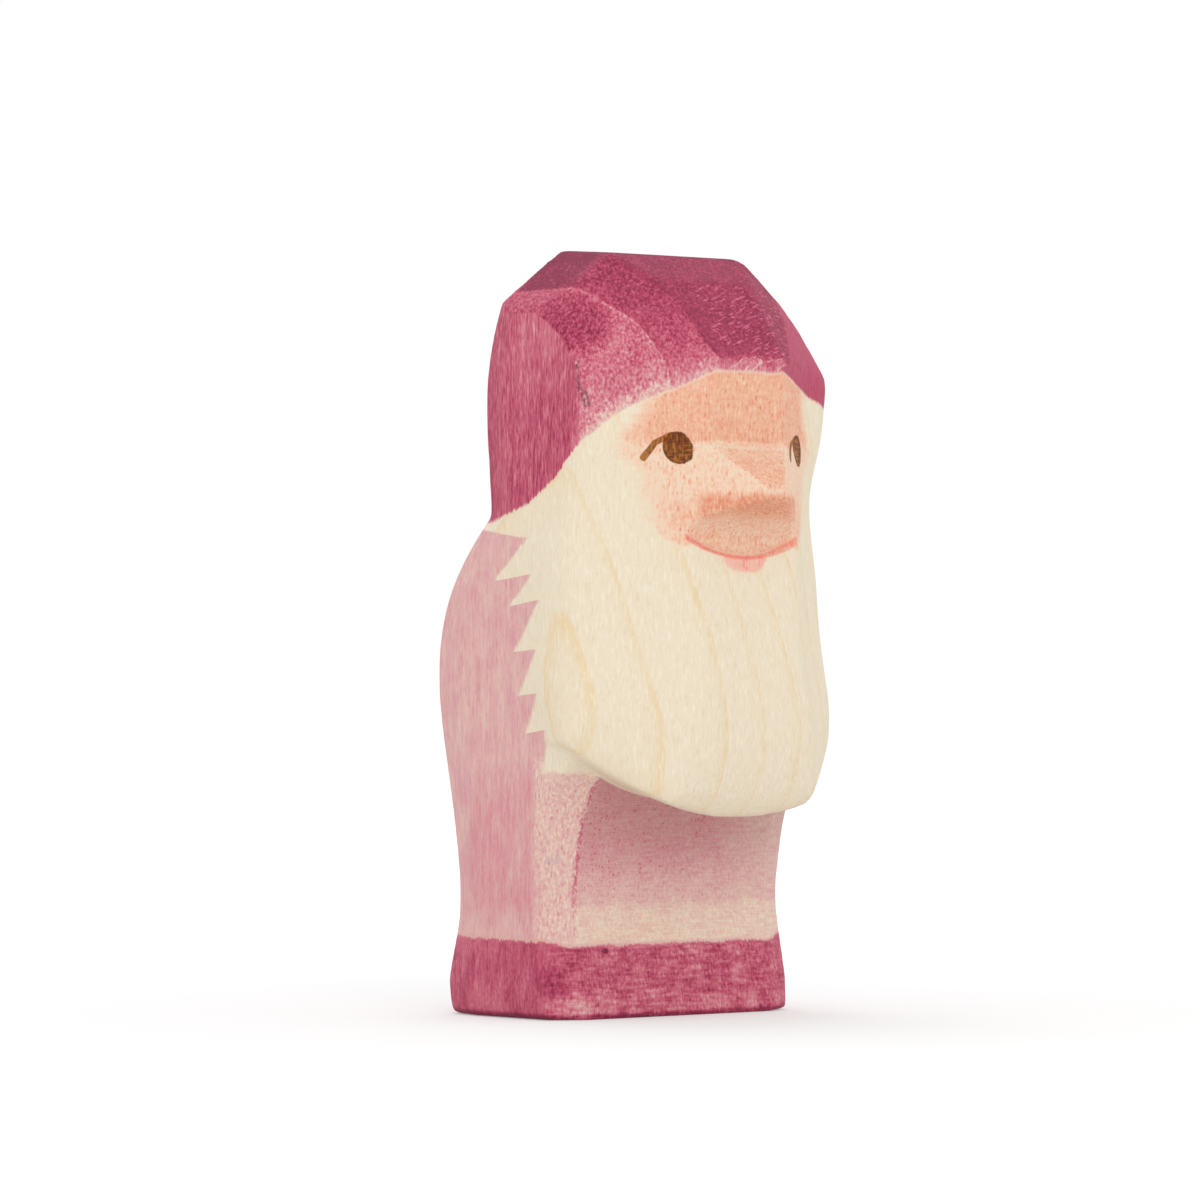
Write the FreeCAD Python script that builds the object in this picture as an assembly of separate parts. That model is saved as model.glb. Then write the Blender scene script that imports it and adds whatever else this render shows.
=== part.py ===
"""A tomte gnome figurine, knife-carved from one upright block of pale maple and stained in zones.

Frame: +Z is up, the gnome looks along -Y, X runs across it, and the origin lies on the table
under the middle of the figure. A place is written as (across, forward, up), in millimetres,
where forward is measured towards the gnome's front, so forward = -Y.

The zones of different finish (hat, face, beard, coat, hem band) are separate solids that meet
face to face. On the real figure they are one piece of wood.
"""
import FreeCAD, Part
import math
import os

# ---------------------------------------------------------------- driving dimensions, mm
BODY_HALF = 14.65         # half the width across the coat
HEAD_HALF = 14.35         # half the width across the temples and the hat
BROW_LEVEL_HALF = 14.45   # half the width across the head at the brow
NOSE_LEVEL_HALF = 14.55   # half the width across the head at the nose
MIDDLE_HALF = 15.05       # half the width halfway down the beard
BEARD_HALF = 16.0         # half the width across the flared lower beard
HEM_TOP = 7.1             # height of the line between hem band and coat
NECK = 45.0               # height of the notch between hump and head
NOSE_TOP = 47.1           # height of the nose tip's upper edge
BROW = 51.2               # height where the nose bridge leaves the forehead
FOREHEAD = 58.5           # height where the flat forehead meets the hat's front facet
CROWN_CUT = 68.95         # height of the cut on top of the hat, over its middle
CROWN_TILT_FORWARD = 5.6  # degrees the top cut falls towards the front
CROWN_TILT_SIDE = 1.3     # degrees the top cut falls towards -X, as a hand leaves it

NOSE_HALF = 1.2           # half the width of the blunt nose tip
NOSE_FORWARD = 16.45
MIDDLE_REACH = 16.85      # where the cheeks' slanting sides would meet the nose's width, halfway down the beard
BROW_HALF = 4.6
BROW_FORWARD = 12.4
FOREHEAD_HALF = 3.9
FOREHEAD_FORWARD = 13.1
TEMPLE_FORWARD = 6.85     # the front corner of the side at the temple
BROW_CORNER_FORWARD = 6.3 # the front corner of the side at the brow
CHEEK_FORWARD = 5.1       # the front corner of the side at the cheek
MIDDLE_CORNER_FORWARD = 5.4
BEARD_CORNER_FORWARD = 6.1
BEARD_REACH = 17.8        # where the lower beard's two slanting sides would meet the nose's width
BEARD_WIDEST = 26.3       # height from which the beard draws in upwards
BEARD_MIDDLE = 34.0
MOUTH = 41.0              # height below which the cheeks begin to spread
FLARE_START_FORWARD = 0.5 # where the sides begin to spread towards the lower beard

BEARD_LOW = 18.1          # lowest point of the beard
BEARD_ARC = 27.5          # radius of the beard's rounded lower end, seen from the front
BEARD_ARC_ACROSS = 0.2    # the lowest point lies a little to the +X side
BEARD_EDGE_FORWARD = 13.3  # where that lowest point is
UNDERCUT = 0.25           # rise of the beard's underside for each mm back from there
SMILE_LOW = 41.3          # lowest point of the mouth
SMILE_ARC = 14.0          # radius of the mouth's curve, seen from the front
SCOOP_LEAN = 0.5          # how far the gouge's lower end leans forward

COAT_STRIP_HALF = 11.4    # half the width of the coat's flat front
COAT_CHAMFER = 1.7        # how far the front corners' chamfers fall back
BACK_FLAT_HALF = 6.0      # half the width of the flat along the back
BACK_CORNER_HALF = 13.3   # where the back meets its steep side chamfer
BACK_CROWN = 1.55         # how far the back falls off between those two
BACK_CHAMFER_SLOPE = 3.36 # how steeply the chamfer then runs to the side

FACE_HALF = 10.6          # half the width of the tinted face
FACE_DROP = 8.9           # how far the face reaches below its middle
FACE_MIDDLE = 50.0
FACE_BACK = 5.5           # how far forward the face zone's flat rear lies

PAST_CORNER = 18.0        # wider than any part of the figure
REACH = 22.0              # further out than any part of the figure's front and back
ABOVE_ALL = 75.0          # higher than any part of the figure
BEYOND = 40.0             # outside the figure in every direction
PAST_FRONT = 5.0          # how far the hat's zone runs on in front of its edge line
INSIDE = FreeCAD.Vector(0, 0, 55)


def at(across, forward, up):
    return FreeCAD.Vector(across, -forward, up)


# ---------------------------------------------------------------- outlines, (forward, up)
COAT_FRONT = [(3.8, -1.0), (3.6, 1.0), (2.6, 6.5), (2.0, 11.0), (2.4, 14.0), (3.3, 18.0), (6.0, 22.2), (11.0, 25.5)]
BEARD_FRONT = [(10.0, 17.0), (12.1, 19.4), (13.3, 23.0), (13.6, 27.5), (13.1, 33.0), (12.0, 41.3), (11.8, 43.2)]
NOSE_UNDERSIDE = [(11.3, 42.5), (12.0, 43.8), (13.8, 45.0), (17.2, 46.5)]
BODY_BACK = [(-14.2, -1.0), (-14.9, 2.8), (-13.5, 8.5), (-13.6, 14.0), (-15.2, 22.5), (-16.45, 31.0),
             (-15.2, 37.2), (-11.6, 42.4), (-8.9, NECK)]
HEAD_BACK = [(-8.9, NECK), (-9.3, 50.6), (-9.5, 56.5), (-7.9, 63.0), (-4.6, 69.0), (-2.6, 72.0)]
HAT_LINE = [(15.0, 57.8), (12.9, 57.2), (10.4, 54.9), (6.9, 51.5), (3.0, 47.8), (0.0, 46.0), (-5.9, 44.5), (-20.0, 44.0)]

# the ragged edge of the beard on the sides: teeth of bare wood that point back over the coat
BEARD_TEETH = 6
FIRST_TOOTH_UP = 39.8
TOOTH_PITCH = 3.5
FIRST_NOTCH = (-0.3, 42.9)
HAIR_BACK = -9.0          # how far back bare hair shows between hat and coat
HAIR_RISE = 1.0           # how much higher than the first notch it ends there
NOTCH_RISE = 0.4          # how much higher than its tooth's tip each notch lies
NOTCH_SLANT = 0.5         # how much further forward each lower notch lies
TIP_REACH = 4.6           # how far back the first tooth reaches
TIP_SLANT = 0.9           # how much less far back each lower tooth reaches

# ---------------------------------------------------------------- hat corners, on the +X side
HAT = {
    "shoulder_back": at(HEAD_HALF, -4.6, 63.3),
    "shoulder_front": at(HEAD_HALF, 0.25, 63.2),
    "ear_high": at(HEAD_HALF, 4.05, 60.6),
    "ear_low": at(HEAD_HALF, TEMPLE_FORWARD, 56.8),
    "top_back": at(8.0, -4.4, 69.0),
    "top_front": at(8.0, 2.8, 68.4),
    "rim": at(12.4, 3.0, 64.9),
    "bulge": at(9.9, 6.8, 62.4),
    "front_high": at(5.5, 6.4, 66.1),
    "front_low": at(FOREHEAD_HALF, FOREHEAD_FORWARD, FOREHEAD),
}

# each knife cut on the side of the hat runs through three of those corners; the number is how much
# shallower the same cut is on the +X side, as a hand leaves it
HAT_CUTS = [
    ("shoulder_back", "shoulder_front", "top_back", 0.3),
    ("top_back", "top_front", "rim", 0.5),
    ("shoulder_front", "rim", "ear_high", 0.3),
    ("rim", "bulge", "ear_high", 0.8),
    ("bulge", "ear_high", "ear_low", 0.75),
    ("top_front", "front_high", "rim", 0.2),
    ("front_high", "bulge", "rim", 0.25),
    ("front_high", "bulge", "front_low", 0.1),
    ("bulge", "front_low", "ear_low", 0.4),
]


# ---------------------------------------------------------------- helpers
def smooth_edge(outline, across):
    curve = Part.BSplineCurve()
    curve.interpolate([at(across, forward, up) for forward, up in outline])
    return curve.toShape()


def region(outline, beyond_forward, across):
    """The flat region between a smooth outline and a far-off line in front of or behind it."""
    first, last = outline[0], outline[-1]
    far_low = at(across, beyond_forward, first[1])
    far_high = at(across, beyond_forward, last[1])
    edges = [
        smooth_edge(outline, across),
        Part.makeLine(at(across, *last), far_high),
        Part.makeLine(far_high, far_low),
        Part.makeLine(far_low, at(across, *first)),
    ]
    return Part.Face(Part.Wire(edges))


def beyond_outline(outline, beyond_forward, stations):
    """All that lies past an outline. Stations (across, forward shift) say how it bends sideways."""
    pieces = []
    for side in (-1, 1):
        for (start, start_shift), (end, end_shift) in zip(stations, stations[1:]):
            face = region(outline, beyond_forward, side * start)
            face.translate(at(0, start_shift, 0))
            pieces.append(face.extrude(at(side * (end - start), end_shift - start_shift, 0)))
    return pieces[0].multiFuse(pieces[1:])


def block(half_width, forward, back, low, high):
    corner = at(-half_width, forward, low)
    return Part.makeBox(2 * half_width, forward + back, high - low, corner)


def slice_off(shape, first, second, third):
    """Cut away what lies outside the plane through three points."""
    outward = (second - first).cross(third - first)
    outward.normalize()
    if outward.dot(INSIDE - first) > 0:
        outward = -outward
    waste = Part.makeBox(2 * BEYOND, 2 * BEYOND, BEYOND, FreeCAD.Vector(-BEYOND, -BEYOND, 0))
    turn = FreeCAD.Rotation(FreeCAD.Vector(0, 0, 1), outward)
    waste.Placement = FreeCAD.Placement(first, turn)
    return shape.cut(waste)


def mirrored(point):
    return FreeCAD.Vector(-point.x, point.y, point.z)


def barrel(radius, lowest, across=0.0, undercut=0.0):
    """The inside of an arc seen from the front, and everything above its middle."""
    middle = lowest + radius
    start = at(across, BEYOND, middle - undercut * (BEYOND - BEARD_EDGE_FORWARD))
    round_end = Part.makeCylinder(radius, 3 * BEYOND, start, FreeCAD.Vector(0, 1, undercut))
    above = block(BEYOND, BEYOND, BEYOND, middle, middle + 2 * BEYOND)
    return round_end.fuse(above)


def chin_barrel():
    """What the beard's round lower end leaves: everything above its underside."""
    return barrel(BEARD_ARC, BEARD_LOW, BEARD_ARC_ACROSS, UNDERCUT)


# ---------------------------------------------------------------- the carving
def wedge_section(up, half, side_forward, strip_half, strip_forward):
    """One level of the head: flat sides, cheeks that slant forward, and a narrow front."""
    start = min(half, BODY_HALF)
    right = [at(start, -REACH, up), at(start, FLARE_START_FORWARD, up),
             at(half, side_forward, up), at(strip_half, strip_forward, up)]
    left = [mirrored(point) for point in reversed(right)]
    return Part.makePolygon(right + left + right[:1])


def head_and_beard():
    levels = [
        (BEARD_LOW - 1, BEARD_HALF, BEARD_CORNER_FORWARD, NOSE_HALF, BEARD_REACH),
        (BEARD_WIDEST, BEARD_HALF, BEARD_CORNER_FORWARD, NOSE_HALF, BEARD_REACH),
        (BEARD_MIDDLE, MIDDLE_HALF, MIDDLE_CORNER_FORWARD, NOSE_HALF, MIDDLE_REACH),
        (MOUTH, BODY_HALF, CHEEK_FORWARD, NOSE_HALF, NOSE_FORWARD),
        (NOSE_TOP, NOSE_LEVEL_HALF, CHEEK_FORWARD, NOSE_HALF, NOSE_FORWARD),
        (BROW, BROW_LEVEL_HALF, BROW_CORNER_FORWARD, BROW_HALF, BROW_FORWARD),
        (FOREHEAD, HEAD_HALF, TEMPLE_FORWARD, FOREHEAD_HALF, FOREHEAD_FORWARD),
        (ABOVE_ALL, HEAD_HALF, TEMPLE_FORWARD, FOREHEAD_HALF, FOREHEAD_FORWARD),
    ]
    slabs = [Part.makeLoft([wedge_section(*low), wedge_section(*high)], True, True)
             for low, high in zip(levels, levels[1:])]
    shape = slabs[0].multiFuse(slabs[1:])
    shape = shape.cut(beyond_outline(BEARD_FRONT, BEYOND, [(0, 0), (BEYOND, 0)]))
    return shape.cut(nose_scoop())


def nose_scoop():
    """The gouge cut under the nose; its lower edge is the smiling line of the mouth."""
    low = NOSE_UNDERSIDE[0]
    foot = (low[0] + SCOOP_LEAN, SMILE_LOW - 1)
    edges = [
        smooth_edge(NOSE_UNDERSIDE, -BEYOND),
        Part.makeLine(at(-BEYOND, *NOSE_UNDERSIDE[-1]), at(-BEYOND, NOSE_UNDERSIDE[-1][0], foot[1])),
        Part.makeLine(at(-BEYOND, NOSE_UNDERSIDE[-1][0], foot[1]), at(-BEYOND, *foot)),
        Part.makeLine(at(-BEYOND, *foot), at(-BEYOND, *low)),
    ]
    gouge = Part.Face(Part.Wire(edges)).extrude(at(2 * BEYOND, 0, 0))
    return gouge.common(barrel(SMILE_ARC, SMILE_LOW))


def coat_block():
    shape = block(BODY_HALF, REACH, REACH, 0, CROWN_CUT)
    slope = COAT_CHAMFER / (BODY_HALF - COAT_STRIP_HALF)
    stations = [(0, 0), (COAT_STRIP_HALF, 0), (PAST_CORNER, -slope * (PAST_CORNER - COAT_STRIP_HALF))]
    return shape.cut(beyond_outline(COAT_FRONT, BEYOND, stations))


def pushed_out(corners, depth):
    """The three corners moved squarely to their plane, away from the inside of the figure."""
    first, second, third = corners
    outward = (second - first).cross(third - first).normalize()
    if outward.dot(INSIDE - first) > 0:
        outward = -outward
    return [corner + outward * depth for corner in corners]


def hat_cut(shape):
    for *names, shallower in HAT_CUTS:
        corners = [HAT[name] for name in names]
        shape = slice_off(shape, *[mirrored(corner) for corner in corners])
        shape = slice_off(shape, *pushed_out(corners, shallower))
    shape = slice_off(shape, HAT["top_front"], mirrored(HAT["top_front"]), HAT["front_high"])
    shape = slice_off(shape, HAT["front_high"], mirrored(HAT["front_high"]), HAT["front_low"])
    fall_forward = math.tan(math.radians(CROWN_TILT_FORWARD))
    fall_side = math.tan(math.radians(CROWN_TILT_SIDE))
    centre = at(0, 0, CROWN_CUT)
    front = at(0, REACH, CROWN_CUT - REACH * fall_forward)
    right = at(REACH, 0, CROWN_CUT + REACH * fall_side)
    return slice_off(shape, centre, front, right)


def carve():
    chin = chin_barrel()
    upper = head_and_beard().common(chin)
    lower = coat_block().cut(chin)
    shape = upper.fuse(lower)
    back_stations = [(0, 0), (BACK_FLAT_HALF, 0), (BACK_CORNER_HALF, BACK_CROWN),
                     (PAST_CORNER, BACK_CROWN + BACK_CHAMFER_SLOPE * (PAST_CORNER - BACK_CORNER_HALF))]
    shape = shape.cut(beyond_outline(BODY_BACK, -BEYOND, back_stations))
    shape = shape.cut(beyond_outline(HEAD_BACK, -BEYOND, back_stations))
    return hat_cut(shape).removeSplitter()


# ---------------------------------------------------------------- the zones
def hat_zone():
    edges = [smooth_edge(HAT_LINE, -BEYOND)]
    front, back = HAT_LINE[0], HAT_LINE[-1]
    corners = [at(-BEYOND, *back), at(-BEYOND, back[0], 2 * BEYOND),
               at(-BEYOND, front[0] + PAST_FRONT, 2 * BEYOND), at(-BEYOND, front[0] + PAST_FRONT, front[1]),
               at(-BEYOND, *front)]
    edges += [Part.makeLine(start, end) for start, end in zip(corners, corners[1:])]
    return Part.Face(Part.Wire(edges)).extrude(at(2 * BEYOND, 0, 0))


def face_zone():
    oval = Part.Ellipse(at(0, BEYOND, FACE_MIDDLE), FACE_HALF, FACE_DROP)
    oval.Axis = FreeCAD.Vector(0, 1, 0)
    return Part.Face(Part.Wire(oval.toShape())).extrude(at(0, FACE_BACK - BEYOND, 0))


def beard_zone():
    notch_forward, notch_up = FIRST_NOTCH
    points = [at(-BEYOND, BEYOND, notch_up + BEYOND), at(-BEYOND, HAIR_BACK, notch_up + BEYOND),
              at(-BEYOND, HAIR_BACK, notch_up + HAIR_RISE), at(-BEYOND, notch_forward, notch_up)]
    for tooth in range(BEARD_TEETH):
        tip_back = TIP_REACH - TIP_SLANT * tooth
        tip_up = FIRST_TOOTH_UP - TOOTH_PITCH * tooth
        points.append(at(-BEYOND, -tip_back, tip_up))
        points.append(at(-BEYOND, notch_forward + NOTCH_SLANT * (tooth + 1), tip_up + NOTCH_RISE))
    points.append(at(-BEYOND, points[-1].y * -1, 0))
    points.append(at(-BEYOND, BEYOND, 0))
    outline = Part.makePolygon(points + points[:1])
    side_view = Part.Face(outline).extrude(at(2 * BEYOND, 0, 0))
    return side_view.common(chin_barrel())


def main():
    os.makedirs("parts", exist_ok=True)
    rest = carve()
    nodes = {}
    hem = block(BEYOND, BEYOND, BEYOND, -1, HEM_TOP)
    for name, zone in (("hat", hat_zone()), ("hem_band", hem), ("face", face_zone()), ("beard", beard_zone())):
        nodes[name] = rest.common(zone)
        rest = rest.cut(zone)
    nodes["coat"] = rest
    for name, shape in nodes.items():
        print(name, "solids", len(shape.Solids), "valid", shape.isValid(), "volume", round(shape.Volume, 1))
        shape.exportStep("parts/" + name + ".step")


main()
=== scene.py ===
"""A tomte gnome figurine: knife-carved from one block of maple and stained in zones.

Frame: metres, +Z up, the gnome looks along -Y, X runs across it. Inside the materials a place is
given in millimetres as (across, forward, up), with forward = -Y.
"""
import math

import bmesh
import bpy
from mathutils import Euler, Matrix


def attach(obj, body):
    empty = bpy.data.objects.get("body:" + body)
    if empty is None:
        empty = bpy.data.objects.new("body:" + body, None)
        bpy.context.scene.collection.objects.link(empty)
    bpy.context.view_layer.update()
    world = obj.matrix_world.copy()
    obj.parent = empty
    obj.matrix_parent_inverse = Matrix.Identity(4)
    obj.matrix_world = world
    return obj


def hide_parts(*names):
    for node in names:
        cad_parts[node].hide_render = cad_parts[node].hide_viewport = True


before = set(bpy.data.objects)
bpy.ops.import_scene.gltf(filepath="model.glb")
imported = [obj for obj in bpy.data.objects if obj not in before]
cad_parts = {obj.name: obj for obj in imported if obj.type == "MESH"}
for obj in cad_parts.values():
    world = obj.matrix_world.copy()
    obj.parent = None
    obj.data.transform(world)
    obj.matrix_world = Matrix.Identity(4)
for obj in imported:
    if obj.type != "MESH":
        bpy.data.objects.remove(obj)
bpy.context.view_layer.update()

MM = 0.001
ZONES = ("hat", "face", "beard", "coat", "hem_band")
SLOTS = {"hat": "hat_stain", "face": "face_tint", "beard": "bare_wood", "coat": "coat_stain",
         "hem_band": "hem_stain"}

# ---------------------------------------------------------------- shape, mm
VOXEL = 0.3                # size of the facets that the carved skin is made of
SHARP_FROM = 50            # degrees between two facets from which their edge is shaded as a sharp one
HEM_TOP = 7.1
FACE_HALF = 10.6
FACE_DROP = 8.9
FACE_MIDDLE = 50.0
FACE_BACK = 5.5
FAR = 40.0                 # outside the figure in every direction
PAST_FRONT = 18.0          # in front of the hat
ABOVE_ALL = 90.0
BELOW_ALL = -5.0
BESIDE_ALL = 18.0          # wider than any part of the figure

# the beard's round lower end, and its underside, which rises towards the back
BEARD_LOW = 18.1
BEARD_ARC = 27.5
BEARD_ARC_ACROSS = 0.2     # its lowest point lies a touch to the +X side
BEARD_EDGE_FORWARD = 13.3
UNDERCUT = 0.25            # rise for each mm back from the front edge
BEARD_DROP = BEARD_ARC * math.hypot(1.0, UNDERCUT)  # half the leaning arc's height, seen from the front
BEARD_TAIL_LOW = 22.7      # where bare wood ends on the sides
BEARD_HALF = 16.0
BEARD_CORNER_FORWARD = 6.1
CHEEK_SLOPE = 0.79         # how far the beard's slanting sides come forward for each mm across
CHEEK_END_FORWARD = 13.0

# the hat's lower edge seen from the side, (forward, up)
HAT_LINE = [(-20.0, 44.0), (-9.0, 44.2), (-5.9, 44.5), (-2.8, 45.1), (0.0, 46.0), (3.05, 47.8),
            (6.0, 50.7), (6.9, 51.7), (7.9, 53.2), (8.85, 54.2), (10.4, 55.4), (11.8, 56.4),
            (13.1, 57.6), (16.0, 58.4)]

# the same on the +X side, where the hat ends a little higher
FAR_HAT_LINE = [(-20.0, 44.0), (-9.0, 44.2), (-5.9, 44.5), (-2.8, 45.1), (0.0, 46.2), (3.05, 48.9),
                (5.0, 51.9), (6.9, 54.9), (10.0, 56.4), (13.1, 57.7), (16.0, 58.4)]

# the ragged border of beard and coat seen from the side, (forward, up): notch, tip, notch, tip
BEARD_EDGE = [(-9.0, 44.0), (-0.3, 42.8), (-5.0, 39.1), (0.6, 39.6), (-2.8, 36.8), (2.0, 37.3),
              (-2.1, 32.7), (1.6, 32.9), (-1.5, 28.8), (1.7, 29.0), (-0.5, 25.4), (2.8, 25.8),
              (1.85, 22.0)]


# ---------------------------------------------------------------- making the pieces
def new_object(name, mesh):
    made = bpy.data.objects.new(name, mesh)
    bpy.context.scene.collection.objects.link(made)
    return made


def apply_modifiers(obj):
    """Turns what the modifiers make into the object's own mesh."""
    bpy.context.view_layer.update()
    seen = obj.evaluated_get(bpy.context.evaluated_depsgraph_get())
    result = bpy.data.meshes.new_from_object(seen)
    obj.modifiers.clear()
    obj.data = result


def keep_largest_shell(mesh):
    """Drops the small closed bubbles that the remesh leaves where two CAD zones met inside."""
    bm = bmesh.new()
    bm.from_mesh(mesh)
    bm.verts.ensure_lookup_table()
    unseen = set(range(len(bm.verts)))
    shells = []
    while unseen:
        start = unseen.pop()
        shell, front = [start], [start]
        while front:
            for edge in bm.verts[front.pop()].link_edges:
                for vert in edge.verts:
                    if vert.index in unseen:
                        unseen.remove(vert.index)
                        shell.append(vert.index)
                        front.append(vert.index)
        shells.append(shell)
    shells.sort(key=len)
    stray = [bm.verts[i] for shell in shells[:-1] for i in shell]
    bmesh.ops.delete(bm, geom=stray, context="VERTS")
    bm.to_mesh(mesh)
    bm.free()


def between(value, low, high, fade):
    """1 between low and high, and falling to 0 over a further distance fade on either side."""
    outside = max(low - value, value - high, 0.0)
    return max(0.0, 1.0 - outside / fade)


def above_chin(across, forward, up):
    """How far a place is above the beard's underside."""
    middle = BEARD_LOW + BEARD_ARC + UNDERCUT * (BEARD_EDGE_FORWARD - forward)
    return up - middle + BEARD_DROP * math.sqrt(1.0 - ((across - BEARD_ARC_ACROSS) / BEARD_ARC) ** 2)


def cheek_wear(across, forward, up):
    """Where the corner between side and cheek is rounded off, down to the beard's lower edge."""
    beside = between(abs(across), 11.5, BESIDE_ALL, 3.0)
    in_front = between(forward, 0.0, 12.0, 3.0)
    height = between(up, 20.0, 52.0, 4.0)
    clear = between(above_chin(across, forward, up), 4.0, ABOVE_ALL, 3.0)
    return beside * in_front * height * clear


def beard_wear(across, forward, up):
    """The beard's front is one smooth swelling."""
    height = between(up, 20.0, 37.0, 4.0)
    in_front = between(forward, 5.0, PAST_FRONT, 3.0)
    clear = between(above_chin(across, forward, up), 3.0, ABOVE_ALL, 2.5)
    return height * in_front * clear


def chin_wear(across, forward, up):
    """The beard's front rolls over into its lower edge; the edge behind it stays crisp."""
    cheek = min(CHEEK_END_FORWARD, BEARD_CORNER_FORWARD + (BEARD_HALF - abs(across)) * CHEEK_SLOPE)
    height = between(above_chin(across, forward, up), -0.5, 4.0, 1.5)
    return height * between(forward, cheek - 2.0, 20.0, 1.5)


def fullness(across, forward, up):
    """Where the wood is left fuller first, because so much of the corner is sanded away."""
    beside = between(abs(across), 12.5, BESIDE_ALL, 3.0)
    in_front = between(forward, 2.0, 12.0, 4.0)
    clear = between(above_chin(across, forward, up), 4.5, ABOVE_ALL, 3.5)
    beard = beside * between(up, 22.0, 40.0, 5.0) * clear
    far_temple = between(across, 12.5, BESIDE_ALL, 2.0) * between(up, 53.0, 57.0, 4.0)
    return in_front * max(beard, far_temple)


def corner_wear(across, forward, up):
    """The beard's lowest corner on the +X side is rounder than the other one."""
    beside = between(across, 9.0, BESIDE_ALL, 3.0)
    in_front = between(forward, 4.5, 14.0, 1.5)
    at_edge = between(above_chin(across, forward, up), -0.5, 1.5, 2.5)
    return beside * in_front * at_edge


def foot_wear(across, forward, up):
    """The edge that the figure stands on is worn, and most at its corners."""
    corner = between(abs(across), 13.5, BESIDE_ALL, 3.0)
    return between(up, 0.0, 1.2, 1.6) * (0.2 + 0.8 * corner)


def all_wear(across, forward, up):
    """Every edge is worn a little; the beard's lower edge is the crispest."""
    at_edge = between(above_chin(across, forward, up), -2.0, 1.5, 1.5)
    crisp_chin = at_edge * between(forward, 4.0, PAST_FRONT, 2.0)
    return 1.0 - 0.55 * crisp_chin


# name, where, and how many rounds of smoothing
WEAR = [("edges", all_wear, 6), ("cheeks", cheek_wear, 90), ("beard", beard_wear, 90),
        ("chin", chin_wear, 22), ("corner", corner_wear, 60), ("foot", foot_wear, 40)]
FULLNESS = 0.5             # mm


def mark(skin, name, weight_at):
    """A vertex group whose weights come from each vertex's place in mm."""
    group = skin.vertex_groups.new(name=name)
    for vert in skin.data.vertices:
        weight = weight_at(vert.co.x / MM, -vert.co.y / MM, vert.co.z / MM)
        if weight > 0.0:
            group.add([vert.index], weight, "REPLACE")


def wear_edges(skin):
    """Smooths the skin, more in the places where the figure is handled and sanded."""
    mark(skin, "fullness", fullness)
    swell = skin.modifiers.new("fullness", "DISPLACE")
    swell.strength = FULLNESS * MM
    swell.mid_level = 0.0
    swell.vertex_group = "fullness"
    for name, weight_at, rounds in WEAR:
        mark(skin, name, weight_at)
        smooth = skin.modifiers.new(name, "SMOOTH")
        smooth.factor = 0.5
        smooth.iterations = rounds
        smooth.vertex_group = name
    apply_modifiers(skin)
    skin.vertex_groups.clear()


def carved_skin():
    """One closed skin round all CAD zones, with worn knife edges."""
    bm = bmesh.new()
    for zone in ZONES:
        bm.from_mesh(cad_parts[zone].data)
    mesh = bpy.data.meshes.new("carved_skin")
    bm.to_mesh(mesh)
    bm.free()
    skin = new_object("carved_skin", mesh)
    remesh = skin.modifiers.new("skin", "REMESH")
    remesh.mode = "VOXEL"
    remesh.voxel_size = VOXEL * MM
    apply_modifiers(skin)
    keep_largest_shell(skin.data)
    wear_edges(skin)
    return skin


def prism(name, outline, axis, start, end, undercut=0.0):
    """A closed prism: a flat outline pushed along the axis it is seen along, mm.

    Along X the outline is (forward, up) and runs from one side to the other. Along Y it is
    (across, up), runs forward, and can rise towards the back.
    """
    bm = bmesh.new()

    def place(pair, depth):
        first, second = pair
        if axis == "X":
            return (depth * MM, -first * MM, second * MM)
        return (first * MM, -depth * MM, (second + undercut * (BEARD_EDGE_FORWARD - depth)) * MM)

    low = [bm.verts.new(place(pair, start)) for pair in outline]
    high = [bm.verts.new(place(pair, end)) for pair in outline]
    bm.faces.new(low)
    bm.faces.new(high)
    for i in range(len(outline)):
        j = (i + 1) % len(outline)
        bm.faces.new((low[i], low[j], high[j], high[i]))
    bmesh.ops.recalc_face_normals(bm, faces=bm.faces)
    mesh = bpy.data.meshes.new(name)
    bm.to_mesh(mesh)
    bm.free()
    return new_object(name, mesh)


def boolean(obj, cutter, operation):
    """Keeps what lies in both, or cuts the cutter's shape away."""
    cut = obj.modifiers.new(operation, "BOOLEAN")
    cut.operation = operation
    cut.solver = "MANIFOLD"
    cut.object = cutter
    apply_modifiers(obj)


def chin_arc(steps=48):
    """The beard's lower end seen from the front, from one side round to the other."""
    turns = [math.radians(-90 + 180 * i / steps) for i in range(steps + 1)]
    middle_up = BEARD_LOW + BEARD_ARC
    return [(BEARD_ARC_ACROSS + BEARD_ARC * math.sin(turn), middle_up - BEARD_DROP * math.cos(turn))
            for turn in turns]


def face_oval(steps=72):
    """The face's outline seen from the front."""
    turns = [i * math.pi / (steps // 2) for i in range(steps)]
    return [(FACE_HALF * math.sin(turn), FACE_MIDDLE + FACE_DROP * math.cos(turn)) for turn in turns]


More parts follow.
